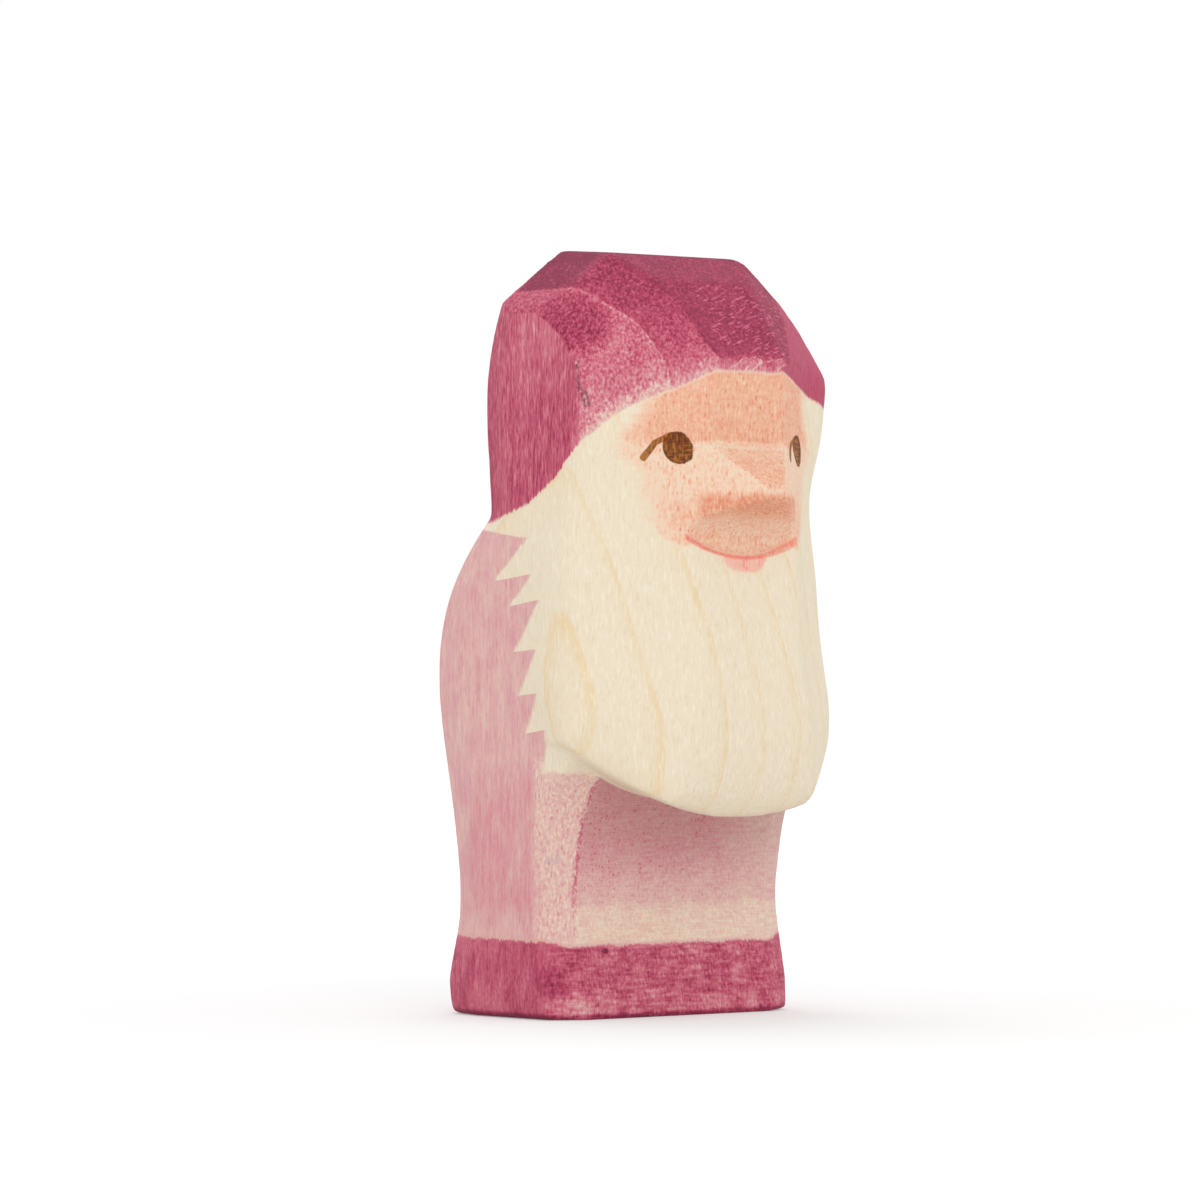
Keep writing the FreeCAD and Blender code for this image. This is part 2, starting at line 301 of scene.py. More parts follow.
def zone_cutters():
    """One closed solid round each zone but the coat, in the order that they are cut off."""
    foot = [(-FAR, BELOW_ALL), (FAR, BELOW_ALL), (FAR, HEM_TOP), (-FAR, HEM_TOP)]
    hem = prism("cut_hem", foot, "X", -FAR, FAR)
    back, front = HAT_LINE[0], HAT_LINE[-1]
    hood = HAT_LINE + [(PAST_FRONT, front[1]), (PAST_FRONT, ABOVE_ALL), (back[0], ABOVE_ALL)]
    hat = prism("cut_hat", hood, "X", -FAR, FAR)
    face = prism("cut_face", face_oval(), "Y", FACE_BACK, FAR)
    beard = prism("cut_beard", BEARD_EDGE + [(1.85, 0), (FAR, 0), (FAR, 60), (-9.0, 60)], "X", -FAR, FAR)
    left, right = BEARD_ARC_ACROSS - BEARD_ARC, BEARD_ARC_ACROSS + BEARD_ARC
    chin_outline = chin_arc() + [(right, ABOVE_ALL), (left, ABOVE_ALL)]
    chin = prism("cut_chin", chin_outline, "Y", -FAR, FAR, UNDERCUT)
    boolean(beard, chin, "INTERSECT")
    bpy.data.objects.remove(chin)
    return [("hem_band", hem), ("hat", hat), ("face", face), ("beard", beard)]


def copy_of(obj, name):
    return new_object(name, obj.data.copy())


def cut_into_zones(skin):
    """The skin in closed pieces, one for each zone; what no cutter takes is the coat."""
    pieces = {}
    rest = skin
    for zone, cutter in zone_cutters():
        piece = copy_of(rest, "stained_" + zone)
        boolean(piece, cutter, "INTERSECT")
        boolean(rest, cutter, "DIFFERENCE")
        pieces[zone] = piece
        bpy.data.objects.remove(cutter)
    rest.name = "stained_coat"
    pieces["coat"] = rest
    for piece in pieces.values():
        piece.data.polygons.foreach_set("use_smooth", [True] * len(piece.data.polygons))
        piece.data.set_sharp_from_angle(angle=math.radians(SHARP_FROM))
    return pieces


# ---------------------------------------------------------------- shader maths
class Field:
    """A number that varies over the surface. Python's + - * / on it add the shader's nodes."""

    tree = None

    def __init__(self, socket):
        self.socket = socket

    def __add__(self, other):
        return maths("ADD", self, other)

    def __sub__(self, other):
        return maths("SUBTRACT", self, other)

    def __mul__(self, other):
        return maths("MULTIPLY", self, other)

    def __truediv__(self, other):
        return maths("DIVIDE", self, other)

    def __rsub__(self, other):
        return maths("SUBTRACT", other, self)

    __radd__ = __add__
    __rmul__ = __mul__


def new_node(kind):
    """A new node of the material that is being made."""
    return Field.tree.nodes.new("ShaderNode" + kind)


def feed(socket, value):
    """Links a field to a socket, or sets a plain number or colour on it."""
    if isinstance(value, Field):
        Field.tree.links.new(value.socket, socket)
    else:
        socket.default_value = value


def maths(operation, *values):
    node = new_node("Math")
    node.operation = operation
    for socket, value in zip(node.inputs, values):
        feed(socket, value)
    return Field(node.outputs[0])


def absolute(value):
    return maths("ABSOLUTE", value)


def lower_of(first, second):
    return maths("MINIMUM", first, second)


def higher_of(first, second):
    return maths("MAXIMUM", first, second)


def square(value):
    return value * value


def between_fields(first, second, amount):
    """First where amount is 0, second where it is 1."""
    return first + (second - first) * amount


def rise(value, low, high):
    """0 below low, 1 above high, and smooth between. With low above high it falls instead."""
    node = new_node("MapRange")
    node.interpolation_type = "SMOOTHSTEP"
    feed(node.inputs["Value"], value)
    node.inputs["From Min"].default_value = min(low, high)
    node.inputs["From Max"].default_value = max(low, high)
    node.inputs["To Min"].default_value = 0.0 if low < high else 1.0
    node.inputs["To Max"].default_value = 1.0 if low < high else 0.0
    return Field(node.outputs["Result"])


def vector(x, y, z):
    node = new_node("CombineXYZ")
    for socket, value in zip(node.inputs, (x, y, z)):
        feed(socket, value)
    return Field(node.outputs[0])


def noise(place, detail=2.0, roughness=0.5):
    """Smooth noise about 0.5, in blots of about one unit."""
    node = new_node("TexNoise")
    feed(node.inputs["Vector"], place)
    node.inputs["Scale"].default_value = 1.0
    node.inputs["Detail"].default_value = detail
    node.inputs["Roughness"].default_value = roughness
    return Field(node.outputs["Fac"])


def follow(value, points):
    """A curve through (in, out) points, with straight runs between them."""
    ins = [point[0] for point in points]
    outs = [point[1] for point in points]
    low_in, high_in = min(ins), max(ins)
    low_out, high_out = min(outs), max(outs)
    scaled = (value - low_in) / (high_in - low_in)
    node = new_node("FloatCurve")
    curve = node.mapping.curves[0]
    while len(curve.points) < len(points):
        curve.points.new(0.5, 0.5)
    for knot, (x, y) in zip(curve.points, sorted(points)):
        knot.location = ((x - low_in) / (high_in - low_in), (y - low_out) / (high_out - low_out))
        knot.handle_type = "VECTOR"
    node.mapping.update()
    feed(node.inputs["Value"], scaled)
    return Field(node.outputs[0]) * (high_out - low_out) + low_out


def shade_of(colour_stops, value):
    """The colour that a ramp gives for a value from 0 to 1."""
    node = new_node("ValToRGB")
    stops = node.color_ramp.elements
    while len(stops) < len(colour_stops):
        stops.new(0.5)
    for stop, (place, colour) in zip(stops, colour_stops):
        stop.position = place
        stop.color = (*colour, 1.0)
    feed(node.inputs["Fac"], value)
    return Field(node.outputs["Color"])


def blend_colour(base, over, amount):
    """Base where amount is 0, over where it is 1."""
    node = new_node("Mix")
    node.data_type = "RGBA"
    feed(node.inputs[0], amount)
    for socket, colour in ((node.inputs[6], base), (node.inputs[7], over)):
        feed(socket, colour if isinstance(colour, Field) else (*colour, 1.0))
    return Field(node.outputs[2])


# ---------------------------------------------------------------- colours
EXPOSURE = 0.84        # the studio light is a little brighter than the paper white it is set for


def lit(red, green, blue):
    """A colour as it looks in the studio light, made into the wood's own colour."""
    return (red * EXPOSURE, green * EXPOSURE, blue * EXPOSURE)


CREAM = lit(0.86, 0.75, 0.575)
PALE_CREAM = lit(0.94, 0.86, 0.70)
TAN = lit(0.76, 0.59, 0.39)
GOLD = lit(0.85, 0.63, 0.34)
ROSE = [(0.00, CREAM), (0.10, lit(0.84, 0.62, 0.50)), (0.28, lit(0.75, 0.42, 0.41)),
        (0.42, lit(0.71, 0.28, 0.315)), (0.58, lit(0.63, 0.155, 0.220)), (0.74, lit(0.51, 0.078, 0.145)),
        (0.88, lit(0.38, 0.042, 0.096)), (1.00, lit(0.24, 0.022, 0.062))]
SKIN = [(0.00, CREAM), (0.35, lit(0.90, 0.63, 0.46)), (0.60, lit(0.88, 0.50, 0.345)),
        (0.80, lit(0.83, 0.41, 0.265)), (1.00, lit(0.78, 0.28, 0.17))]
CORAL = lit(0.88, 0.22, 0.17)
PALE_CORAL = lit(0.93, 0.44, 0.36)
BROWN = lit(0.22, 0.048, 0.003)
DARK_BROWN = lit(0.10, 0.022, 0.004)
AMBER = lit(0.42, 0.16, 0.020)
MAUVE = lit(0.70, 0.34, 0.42)
SOOT = lit(0.16, 0.08, 0.09)
SLATE = lit(0.52, 0.44, 0.48)
# the brown of the painted shade under the beard
BEARD_SHADE_BROWN = lit(0.38, 0.23, 0.19)


# ---------------------------------------------------------------- the wood
# how many years' rings lie before a depth in the wood; no two years grew the same
RINGS = [(-60.0, 1.0), (-34.0, 8.0), (-30.2, 9.0), (-26.6, 10.0), (-23.5, 11.0), (-18.8, 12.0),
         (-14.75, 13.0), (-10.85, 14.0), (20.0, 22.0), (60.0, 31.0)]


class Spot:
    """Where a point of the surface lies, in mm, and the grain of the wood there."""

    def __init__(self):
        place = new_node("TexCoord")
        split = new_node("SeparateXYZ")
        Field.tree.links.new(place.outputs["Object"], split.inputs[0])
        self.x = Field(split.outputs[0]) / MM
        self.f = Field(split.outputs[1]) / -MM
        self.z = Field(split.outputs[2]) / MM
        surface = new_node("NewGeometry")
        tilt = new_node("SeparateXYZ")
        Field.tree.links.new(surface.outputs["Normal"], tilt.inputs[0])
        self.slope = absolute(Field(tilt.outputs[2]))
        self.fibre = self.grain(5.0, 0.9, 2.0)
        self.streak = self.grain(2.4, 0.18, 3.0)
        self.speck = self.grain(3.9, 2.7, 3.0)
        self.brush = self.grain(0.5, 3.0, 3.0)
        self.blot = self.grain(0.6, 0.35, 4.0)
        self.cloud = self.grain(0.22, 0.10, 3.0)

    def grain(self, across, along, detail):
        """Noise about 0 with so many blots per mm across and along the upright grain."""
        place = vector(self.x * across, self.f * across, self.z * along)
        return noise(place, detail, roughness=0.6) - 0.5

    def pores(self, across, along, low, high):
        """Scattered dots on sloping wood, which draw out into dashes on upright wood."""
        node = new_node("TexVoronoi")
        feed(node.inputs["Vector"], vector(self.x * across, self.f * across, self.z * along))
        node.inputs["Scale"].default_value = 1.0
        return rise(Field(node.outputs["Distance"]), high, low)

    def near(self, across, forward, up, radius, fade):
        """1 inside a ball round a place, falling to 0 over a further distance fade."""
        away = square(self.x - across) + square(self.f - forward) + square(self.z - up)
        return rise(maths("SQRT", away), radius + fade, radius)


def bare_maple(spot):
    """Cream wood with growth rings that bend round the tree's heart, and short fibres; tan painted shade
    low on the beard's front, just above its lower edge.
    """
    across = spot.x * 0.961 - spot.f * 0.277 - spot.z * 0.456
    along = spot.x * -0.277 - spot.f * 0.961 - 9.3
    bend = square(spot.z - 11.5) * 0.0082 - square(along) * 0.0018 - (spot.z - 30.0) * along * 0.0143
    waver = (noise(vector(spot.x * 0.12, spot.f * 0.12, spot.z * 0.05)) - 0.5) * 0.8
    phase = maths("FRACT", follow(across + bend + waver, RINGS))
    line = rise(phase, 0.80, 0.95) * rise(phase, 1.0, 0.965)
    glow = rise(phase, 0.45, 0.97) * rise(phase, 1.0, 0.965)
    strength = rise(spot.cloud + spot.streak * 0.5, -0.15, 0.2) * 0.45 + 0.15
    wood = blend_colour(CREAM, GOLD, line * strength + glow * 0.12)
    wood = blend_colour(wood, PALE_CREAM, rise(spot.fibre, 0.0, 0.22) * 0.60)
    # painted shade: tan on the beard's front within 3 mm of its lower edge, where it rolls under
    under = rise(spot.z - beard_end(spot), 3.0, 0.3) * rise(spot.f, 4.0, 8.0) * 0.20
    return blend_colour(wood, TAN, rise(spot.fibre + spot.speck * 0.4, -0.03, -0.25) * 0.45 + under)


# ---------------------------------------------------------------- the stains
def above_hat_line(spot):
    """The height over the hat's edge, which changes sides beside the forehead's far corner."""
    near, far = follow(spot.f, HAT_LINE), follow(spot.f, FAR_HAT_LINE)
    return spot.z - near - (far - near) * rise(spot.x, 3.2, 4.4)


def in_hat(spot):
    """1 inside the hat, 0 outside; the stain creeps along the grain at its edge."""
    loose = spot.fibre * (0.9 - rise(spot.f, 5.0, 8.0) * 0.5) + spot.blot * 0.5
    return rise(above_hat_line(spot) + loose, -0.2, 0.25)


def on_front_face(spot):
    """1 on the foot's front, 0 on its sides and back."""
    return rise(spot.f, 1.0, 2.4)


def in_hem(spot):
    """1 below the hem's line, which is half a millimetre lower in front."""
    worn = spot.fibre * 0.6 + spot.blot * 0.9 + spot.speck * 0.5
    front_drop = on_front_face(spot) * 0.5
    return rise(spot.z - HEM_TOP + front_drop + worn, 0.25, -0.25)


def beard_end(spot):
    """The height of the beard's underside."""
    drop = maths("SQRT", 1.0 - square((spot.x - BEARD_ARC_ACROSS) / BEARD_ARC)) * BEARD_DROP
    return BEARD_LOW + BEARD_ARC - drop + (BEARD_EDGE_FORWARD - spot.f) * UNDERCUT


TEETH_LEAN = 0.15          # tips the outline, so that each height has one place on it


def in_coat(spot):
    """1 behind the beard's ragged edge and below its lower end, crisp in front, soft on the sides."""
    tipped = [(up - forward * TEETH_LEAN, forward) for forward, up in BEARD_EDGE]
    edge = follow(spot.z - spot.f * TEETH_LEAN, tipped)
    ragged = spot.fibre * 0.9 + spot.blot * 0.6
    behind = rise(spot.f - edge + ragged * 1.3, 0.45, -0.55)
    end = lower_of(beard_end(spot), BEARD_TAIL_LOW)
    beside = rise(absolute(spot.x), 11.0, 12.0)
    softness = 1.0 - beside * 0.72
    below = rise((spot.z - end + ragged * beside) * softness, -0.10, -0.30)
    return higher_of(behind, below)


# the pale ridge across the hat's near front, (across, up)
RIDGE = [(-14.6, 66.2), (-12.0, 65.0), (-11.2, 64.4), (-10.3, 63.3), (-9.5, 62.5), (-8.8, 61.5),
         (-8.4, 60.3), (-8.1, 59.0), (-7.9, 58.1), (-7.0, 52.0)]

# the corners beside the hat's dark front cut, (up, across): near side and far side
NEAR_CORNER = [(50.0, 3.7), (58.6, 3.75), (60.2, 4.2), (63.5, 4.6), (65.5, 5.8), (66.9, 7.4),
               (67.7, 8.9)]
FAR_CORNER = [(50.0, 4.0), (57.9, 4.2), (62.0, 8.7), (65.0, 11.0), (70.0, 13.0)]

# the back of the hat seen from the side, (up, forward)
HAT_BACK = [(44.0, -8.9), (56.5, -9.5), (63.0, -7.9), (69.0, -4.6), (72.0, -2.6)]


def ray_flecks(spot):
    """Short pale slanting lines where the wood's rays come to the surface of the hat's front cut."""
    along = spot.x * 0.912 - spot.f * 0.271 + spot.z * 0.307
    beside = spot.x * 0.409 + spot.f * 0.603 - spot.z * 0.684
    lines = noise(vector(along * 0.75, beside * 3.6, 0.0), detail=1.0)
    return rise(lines, 0.55, 0.66)


def hat_side_depth(spot):
    """Streaky stain along the grain, paler high up near the front."""
    streaks = spot.streak * 0.50 + spot.fibre * 0.85 + spot.speck * 0.15
    pale_top = spot.near(-14.3, 0.0, 60.5, 1.5, 5.0) * 0.10
    rear = rise(spot.f, -4.5, -8.0) * 0.06
    return 0.70 + streaks + spot.blot * 0.30 + rear - pale_top


def hat_front_depth(spot):
    """Two knife cuts on the near front with a pale ridge between, and a darker cut over the forehead."""
    height = above_hat_line(spot)
    grain = spot.speck * 1.2 + spot.fibre * 0.3 + spot.blot * 0.30
    over_ridge = spot.z - follow(spot.x, RIDGE)
    upper_cut = 0.86 + grain * 0.85 - rise(spot.z, 66.0, 60.0) * 0.10 - rise(height, 5.5, 1.5) * 0.16
    lower_cut = 0.58 + grain * 1.0 + spot.near(-13.0, 4.2, 61.9, 1.8, 2.6) * 0.24
    lower_cut = lower_cut - rise(height + spot.blot * 2.0, 4.5, 1.5) * 0.10
    ridge = rise(absolute(over_ridge), 0.40, 0.05) * rise(spot.x, -12.8, -11.5) * 0.14
    depth = between_fields(lower_cut, upper_cut, rise(over_ridge, -0.15, 0.15)) - ridge
    on_front = rise(absolute(spot.x) - follow(spot.z, NEAR_CORNER), 0.15, -0.15)
    front_cut = 0.91 + spot.speck * 0.75 + spot.fibre * 0.4 + spot.blot * 0.25
    flecked = rise(spot.x, -4.0, -1.0) * rise(spot.z, 66.2, 65.6)
    front_cut = front_cut - ray_flecks(spot) * flecked * 0.24
    front_cut = front_cut - rise(height + spot.blot * 1.5, 2.2, 0.8) * 0.16
    return between_fields(depth, front_cut, higher_of(on_front, rise(spot.x, 1.0, 2.0)))


def hat_depth(spot):
    """How dark the hat is: deep on the crown and front, worn pale just above the forehead."""
    height = above_hat_line(spot)
    front = rise(spot.f, 5.4, 6.8)
    round_corner = rise(absolute(spot.x), 9.0, 16.0) * 3.0
    from_back = spot.f - follow(spot.z, HAT_BACK) - round_corner
    sloping = rise(spot.slope, 0.10, 0.22) * rise(from_back + spot.blot * 1.5, 0.2, 1.0)
    depth = between_fields(hat_side_depth(spot), hat_front_depth(spot), higher_of(front, sloping))
    far = rise(spot.x - follow(spot.z, FAR_CORNER), 0.1, 0.9)
    depth = between_fields(depth, 0.75 + spot.fibre * 0.4, far)
    crown = rise(spot.slope, 0.86, 0.95) * 0.12
    rear_top = sloping * rise(spot.f, 3.0, 1.0) * 0.14
    worn = front * rise(height + spot.blot * 2.0 + spot.speck * 0.8, 1.7, 0.2) * rise(spot.x, 4.2, 3.2)
    return depth + crown + rear_top - worn * 0.24


def coat_side_depth(spot):
    """Thin uneven stain along the grain, a little deeper low down."""
    low = rise(spot.z, 24.0, 18.0) * rise(spot.z, 7.5, 11.0) * rise(spot.f, -11.0, -8.0)
    streaks = spot.streak * 0.28 + spot.blot * 0.26 + spot.fibre * 0.26 + spot.speck * 0.14
    return 0.265 + streaks + spot.pores(2.0, 0.40, 0.10, 0.30) * 0.07 + low * 0.08


def coat_front_depth(spot):
    """Scraped across the grain, with pore dots, deeper under the beard (deeper stain there, and painted
    shade) and pale over the hem.
    """
    # deeper under the beard: partly deeper stain, partly painted shade from the overhanging beard
    darker = rise(spot.z, 10.0, 16.0) * rise(spot.x, 12.0, 3.0) * 0.15
    dots = spot.pores(2.3, 1.9, 0.13, 0.28) * rise(spot.blot + spot.cloud, -0.30, 0.20)
    dots = dots * (rise(spot.z, 8.5, 12.0) * rise(spot.x, 9.0, 3.0) * 0.26 + 0.05)
    scraped = noise(vector(spot.x * 0.5, spot.f * 0.5, spot.z * 6.0), detail=3.0) - 0.5
    pale_band = rise(spot.z + spot.blot * 1.5, 10.6, 9.4) * 0.105
    return 0.215 + spot.speck * 0.45 + scraped * 0.30 + spot.blot * 0.15 + dots + darker - pale_band


COAT_CORNER = -11.25       # where the coat's flat front meets its near chamfer


def coat_depth(spot):
    """Side, chamfer and front, with a darker line of stain along the near front corner."""
    chamfer = 0.19 + spot.speck * 0.60 + spot.fibre * 0.45 + spot.pores(2.2, 0.9, 0.12, 0.30) * 0.16
    on_front = rise(spot.x + spot.blot * 0.6, COAT_CORNER - 0.25, COAT_CORNER + 0.15)
    on_chamfer = rise(spot.f + spot.blot * 0.8, 0.0, 0.9) * rise(spot.z, 24.0, 22.5)
    corner = rise(absolute(spot.x - COAT_CORNER), 0.40, 0.05) * rise(spot.z, 8.5, 10.0)
    patchy = rise(spot.speck + spot.blot * 0.7, -0.12, 0.10)
    depth = between_fields(coat_side_depth(spot), chamfer, on_chamfer)
    depth = between_fields(depth, coat_front_depth(spot), on_front * on_chamfer)
    return depth + corner * patchy * on_chamfer * 0.26


def hem_depth(spot):
    """Strong stain, brushed across in front, with a dark and a pale patch at the near front corner, and
    painted shade along the bottom edge.
    """
    on_front = on_front_face(spot)
    grain = spot.speck * (on_front * 0.32 + 0.35) + spot.fibre * 0.45 + spot.streak * 0.25
    grain = grain + spot.brush * on_front * 0.75
    corner = spot.near(-13.6, 2.1, 3.1, 0.8, 1.4) * 0.17 - spot.near(-11.8, 3.2, 1.2, 0.4, 1.8) * 0.20
    dot = spot.near(-8.2, 2.7, 6.0, 0.12, 0.28) * 0.5
    pale_foot = rise(spot.z, 2.6, 1.4) * on_front * 0.07
    # the last term is painted shade: darker in the lowest 0.75 mm, where the worn foot turns under
    return 0.68 + spot.blot * 0.62 + grain + corner + dot - pale_foot + rise(spot.z, 0.75, 0.2) * 0.35


# how far the peach tint reaches to either side, (up, across)
TINT_EDGE = [(41.0, 6.5), (42.0, 7.4), (43.0, 8.4), (44.2, 8.9), (46.0, 9.6), (48.6, 9.9), (49.4, 11.0),
             (50.2, 11.7), (51.2, 11.2), (52.5, 10.3), (53.7, 9.6), (58.0, 9.2)]


def above_smile(spot):
    """The height over the smile's curve."""
    return spot.z - (square(spot.x) / 26.0 + 41.1)


def face_tint(spot):
    """How rosy the face is, 0 outside it; the scoop under the nose is deepest, partly painted shade."""
    wide = absolute(spot.x)
    smile = above_smile(spot)
    at_temple = rise(absolute(spot.z - 50.2), 2.0, 0.8)
    loose = spot.blot * 2.6 + spot.fibre * 1.2 + spot.brush * (2.4 + at_temple * 2.5)
    inside = rise(wide - follow(spot.z, TINT_EDGE) + loose, 1.3, -1.4)
    inside = inside * rise(smile + spot.fibre * 0.6 + rise(wide, 5.5, 7.0) * 1.0, -0.3, 0.1)
    inside = inside * rise(spot.f, 5.8, 7.2)
    forehead = rise(spot.z + spot.blot * 1.6, 50.6, 51.8)
    brow_line = rise(absolute(spot.z - 51.3 + spot.blot), 0.6, 0.1) * rise(wide, 9.0, 4.0)
    nose_half = (spot.z - 47.1) * 0.83 + 1.2
    nose_top = rise(wide - nose_half, 0.15, -0.15) * rise(spot.z, 51.3, 51.0) * rise(spot.z, 46.9, 47.1)
    nose_end = nose_top * rise(spot.z + spot.brush * 2.0, 50.3, 49.3)
    blush = rise(wide, 4.5, 6.3) * rise(wide, 9.4, 8.0) * rise(spot.z + spot.blot * 3.0, 47.5, 45.0)
    # the scoop under the nose: deeper tint, and painted shade that is darkest just under the nose
    scoop_tint_and_shade = rise(spot.z, 47.0, 46.0) * rise(wide, 6.3, 5.0) * rise(smile, 0.0, 0.4)
    scoop_top_tint_and_shade = scoop_tint_and_shade * rise(spot.z, 44.0, 45.5)
    dashes = spot.pores(2.6, 0.9, 0.10, 0.30) * 0.20 + spot.pores(3.4, 2.2, 0.08, 0.30) * forehead * 0.10
    grain = spot.fibre * 0.55 + spot.speck * 0.55 + spot.brush * 0.25 + dashes
    pale_band = rise(absolute(spot.z - 50.95), 0.42, 0.22) * rise(wide, 6.0, 4.0) * 0.20
    depth = 0.33 + forehead * 0.33 + brow_line * 0.10 + nose_top * 0.14 + nose_end * 0.14 + blush * 0.15
    depth = depth - pale_band + scoop_tint_and_shade * 0.15 + scoop_top_tint_and_shade * 0.36 + grain * (1.8 - forehead * 0.3)
    return depth * inside


SMEAR = (-13.3, 1.5, 14.2)  # a faint grey smear on the near chamfer, (across, forward, up)


def stained(spot, wood):
    """The wood's colour with the transparent stains on it, and painted shade on the coat's front under
    the beard.
    """
    hat, hem = in_hat(spot), in_hem(spot)
    coat = in_coat(spot) * (1.0 - hat) * (1.0 - hem)  # beard and face are what no stain covers
    tint = face_tint(spot) * (1.0 - hat)
    rosy = hat * hat_depth(spot) + coat * coat_depth(spot) + hem * hem_depth(spot)
    colour = blend_colour(wood, shade_of(SKIN, tint), rise(tint, 0.0, 0.25))
    colour = blend_colour(colour, shade_of(ROSE, rosy), higher_of(hat, higher_of(coat, hem)))
    bruised = coat * rise(spot.f, 0.0, -3.0) * rise(spot.blot + spot.cloud, 0.0, 0.25)
    colour = blend_colour(colour, MAUVE, bruised * 0.25)
    # painted shade: the coat's front under the beard is darkened towards a dusky brown
    front = rise(spot.f, 0.5, 1.5) * rise(spot.x, -11.5, -10.8)
    painted_shade_under_beard = coat * front * rise(spot.z, 11.0, 18.5)
    colour = blend_colour(colour, BEARD_SHADE_BROWN, painted_shade_under_beard * 0.28)
    across, forward, up = SMEAR
    smear = spot.near(across, forward, up, 0.2, 0.9) * rise(absolute(spot.z - up), 0.5, 0.2)
    return blend_colour(colour, SLATE, smear * rise(spot.speck, -0.2, 0.1) * 0.45)


# ---------------------------------------------------------------- the painted eyes and mouth
FACET_STRETCH = 1.2              # a mm across is this far along the slanting cheek
NEAR_EYE = (-6.95, 50.6)         # (across, up)
FAR_EYE = (8.0, 50.9)
EYE_WIDE = 1.37
EYE_HIGH = 1.45
# the lash from the eye outward, (along the cheek, up, half width); both point the same way
LASH = [(-0.60, 1.15, 0.26), (-2.05, 0.42, 0.27), (-3.10, -0.88, 0.31)]


def stroke(place, start, end, start_half, end_half):
    """1 on a straight brush stroke that widens from one half width to another."""
    run = (end[0] - start[0], end[1] - start[1])
    offset = (place[0] - start[0], place[1] - start[1])
    along = (offset[0] * run[0] + offset[1] * run[1]) / (run[0] ** 2 + run[1] ** 2)
    along = lower_of(higher_of(along, 0.0), 1.0)
    distance = maths("SQRT", square(offset[0] - along * run[0]) + square(offset[1] - along * run[1]))
    half = along * (end_half - start_half) + start_half
    return rise(distance - half, 0.06, -0.06)


def eye(spot, colour, middle):
    """A brown disc with one lash, in translucent strokes that leave the wood's grain showing."""
    across, up = middle
    wobble = spot.fibre * 0.25 + spot.speck * 0.25
    place = ((spot.x - across) * FACET_STRETCH + wobble * 0.5, spot.z - up)
    away = maths("SQRT", square(place[0] / EYE_WIDE) + square(place[1] / EYE_HIGH))
    disc = rise(away + wobble * 0.5, 1.05, 0.95)
    upright = noise(vector(spot.x * 4.5, spot.f * 4.5, spot.z * 0.6), detail=1.0)
    level = noise(vector(spot.x * 0.6, spot.f * 0.6, spot.z * 5.0), detail=1.0)
    hatching = higher_of(rise(upright, 0.52, 0.66), rise(level, 0.52, 0.66))
    paint = blend_colour(BROWN, DARK_BROWN, rise(spot.speck + spot.fibre * 0.6, 0.12, -0.12))
    paint = blend_colour(paint, AMBER, hatching * rise(away, 1.00, 0.75) * 0.80)
    lash = 0.0
    for start, end in zip(LASH, LASH[1:]):
        lash = higher_of(lash, stroke(place, start[:2], end[:2], start[2], end[2]))
    lash = lash * rise(spot.f, 5.0, 6.0)
    lash_paint = blend_colour(AMBER, BROWN, rise(spot.speck + spot.fibre, 0.15, -0.15))
    colour = blend_colour(colour, lash_paint, lash * 0.95)
    return blend_colour(colour, paint, disc * rise(spot.f, 5.0, 6.0) * 0.98)


def mouth(spot, colour):
    """A coral line along the smile, thicker towards its ends, and a paler lip under it."""
    smile = above_smile(spot)
    wide = absolute(spot.x)
    wobble = spot.fibre * 0.25 + spot.speck * 0.2
    half = rise(wide, 2.5, 6.0) * 0.10 + rise(spot.x, 1.0, 5.5) * 0.08 + 0.17
    line = rise(absolute(smile + 0.06) - half + wobble, 0.10, -0.10) * rise(wide, 6.85, 6.45)
    line = line * (0.80 - rise(spot.x, 1.0, 5.0) * 0.15 + spot.fibre * 1.4)
    lip_away = maths("SQRT", square((spot.x - 0.2) / 2.7) + square((spot.z - 41.0) / 1.35))
    lip = rise(lip_away + spot.blot * 0.5 + wobble, 1.10, 0.80) * rise(smile, 0.1, -0.1)
    in_front = rise(spot.f, 8.0, 9.0)
    colour = blend_colour(colour, PALE_CORAL, lip * in_front * (0.75 + spot.fibre * 1.0))
    colour = blend_colour(colour, CORAL, lip * in_front * rise(spot.fibre + spot.blot, 0.02, 0.25) * 0.6)
    return blend_colour(colour, CORAL, line * in_front)


def nick(spot, colour):
    """The dark slip of the knife at the hat's near front corner."""
    place = (spot.f + spot.blot * 0.8, spot.z)
    cut = stroke(place, (5.8, 58.2), (6.75, 54.4), 0.16, 0.24) * rise(spot.x, -12.5, -13.2)
    return blend_colour(colour, SOOT, cut * rise(spot.speck + spot.fibre, -0.22, 0.10) * 0.65)


def painted(spot, colour):
    """The colour with what is drawn on top of the stains."""
    colour = nick(spot, colour)
    colour = eye(spot, colour, NEAR_EYE)
    colour = eye(spot, colour, FAR_EYE)
    return mouth(spot, colour)


ROUGHNESS = 0.62
SPECULAR = 0.15
GRAIN_RELIEF = 0.04        # mm


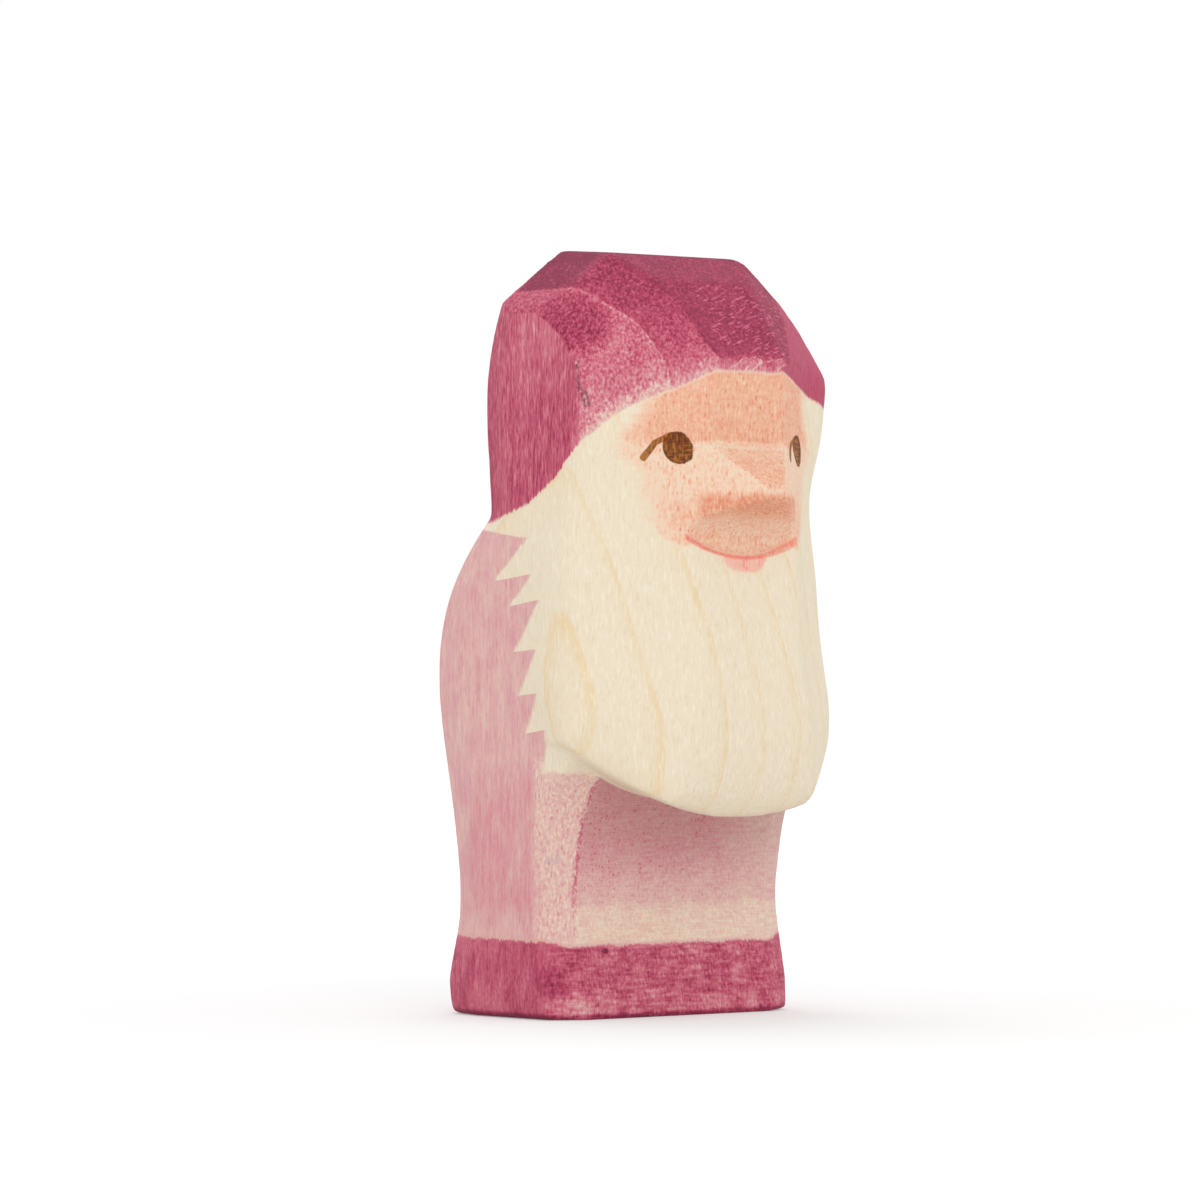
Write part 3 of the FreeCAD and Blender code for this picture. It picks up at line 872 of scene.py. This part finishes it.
def build_wood(name):
    """The whole figure's material. It goes by places on the wood, so that the pieces show no seam."""
    material = bpy.data.materials.new(name)
    material.use_nodes = True
    tree = material.node_tree
    tree.nodes.clear()
    Field.tree = tree
    spot = Spot()
    colour = painted(spot, stained(spot, bare_maple(spot)))

    shader = new_node("BsdfPrincipled")
    shader.inputs["Roughness"].default_value = ROUGHNESS
    shader.inputs["Specular IOR Level"].default_value = SPECULAR
    feed(shader.inputs["Base Color"], colour)
    bump = new_node("Bump")
    bump.inputs["Strength"].default_value = 0.5
    bump.inputs["Distance"].default_value = GRAIN_RELIEF * MM
    feed(bump.inputs["Height"], spot.fibre + spot.speck)
    tree.links.new(bump.outputs["Normal"], shader.inputs["Normal"])
    output = new_node("OutputMaterial")
    tree.links.new(shader.outputs[0], output.inputs[0])
    return material


# ---------------------------------------------------------------- studio
# name, place and width in m, power in watts; both face the origin
LIGHTS = [("soft_key", (-0.35, -0.60, 0.40), 0.5, 1.1), ("overhead", (0.10, 0.25, 0.75), 0.45, 1.3)]
FLOOR_HALF = 1.5           # m
FLOOR_GREY = 0.60
FLOOR_GLOW = 0.26          # near the figure, so that its shadow shows
FAR_GLOW = 0.20            # added further out, where the floor fades into the white behind it
GLOW_FROM, GLOW_TO = 0.04, 0.22  # m from the origin
WHITE = (1.0, 1.0, 1.0, 1.0)


def soft_light(name, place, size, watts):
    """A round soft light."""
    data = bpy.data.lights.new(name, "AREA")
    data.shape = "DISK"
    data.size = size
    data.energy = watts
    light = bpy.data.objects.new(name, data)
    light.location = place
    light.rotation_euler = (-light.location).to_track_quat("-Z", "Y").to_euler()
    bpy.context.scene.collection.objects.link(light)


def white_world():
    world = bpy.data.worlds.new("studio_white")
    bpy.context.scene.world = world
    world.use_nodes = True
    sky = world.node_tree.nodes["Background"]
    sky.inputs["Color"].default_value = WHITE
    sky.inputs["Strength"].default_value = 1.0


def pale_floor():
    """Part of the floor's white is its own glow, so that the figure's shadow stays faint."""
    material = bpy.data.materials.new("pale_floor")
    material.use_nodes = True
    shader = material.node_tree.nodes["Principled BSDF"]
    shader.inputs["Base Color"].default_value = (FLOOR_GREY, FLOOR_GREY, FLOOR_GREY, 1.0)
    shader.inputs["Roughness"].default_value = 0.9
    shader.inputs["Specular IOR Level"].default_value = 0.0
    shader.inputs["Emission Color"].default_value = WHITE
    Field.tree = material.node_tree
    place = new_node("TexCoord")
    reach = new_node("VectorMath")
    reach.operation = "LENGTH"
    material.node_tree.links.new(place.outputs["Object"], reach.inputs[0])
    further_out = rise(Field(reach.outputs["Value"]), GLOW_FROM, GLOW_TO)
    feed(shader.inputs["Emission Strength"], FLOOR_GLOW + further_out * FAR_GLOW)
    return material


def studio():
    white_world()
    for light in LIGHTS:
        soft_light(*light)
    half = FLOOR_HALF
    corners = [(-half, -half, 0), (half, -half, 0), (half, half, 0), (-half, half, 0)]
    mesh = bpy.data.meshes.new("floor")
    mesh.from_pydata(corners, [], [(0, 1, 2, 3)])
    mesh.materials.append(pale_floor())
    floor = new_object("floor", mesh)
    bpy.context.scene.view_settings.view_transform = "Standard"


# where the photograph was taken from
SENSOR = 36.0              # mm
LENS = 144.0               # mm
CAMERA_ROUND = -41.0       # degrees from straight in front, towards -X
CAMERA_AWAY = 0.436        # m
CAMERA_HEIGHT = 0.025      # m
AIM_LEFT = 0.656           # degrees left of the figure's upright axis
AIM_UP = 1.647             # degrees above level


def camera():
    data = bpy.data.cameras.new("photo_camera")
    data.sensor_width = SENSOR
    data.lens = LENS
    data.clip_start = 0.01
    viewer = bpy.data.objects.new("photo_camera", data)
    azimuth = math.radians(CAMERA_ROUND)
    viewer.location = (math.sin(azimuth) * CAMERA_AWAY, -math.cos(azimuth) * CAMERA_AWAY, CAMERA_HEIGHT)
    tip = math.radians(90) + math.radians(AIM_UP)
    viewer.rotation_euler = Euler((tip, 0, azimuth + math.radians(AIM_LEFT)), "XYZ")
    bpy.context.scene.collection.objects.link(viewer)
    bpy.context.scene.camera = viewer


# ---------------------------------------------------------------- the scene
camera()
studio()
pieces = cut_into_zones(carved_skin())
for zone, piece in pieces.items():
    piece.data.materials.clear()
    piece.data.materials.append(build_wood(SLOTS[zone] + "_maple"))
    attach(piece, "root")
    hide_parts(zone)
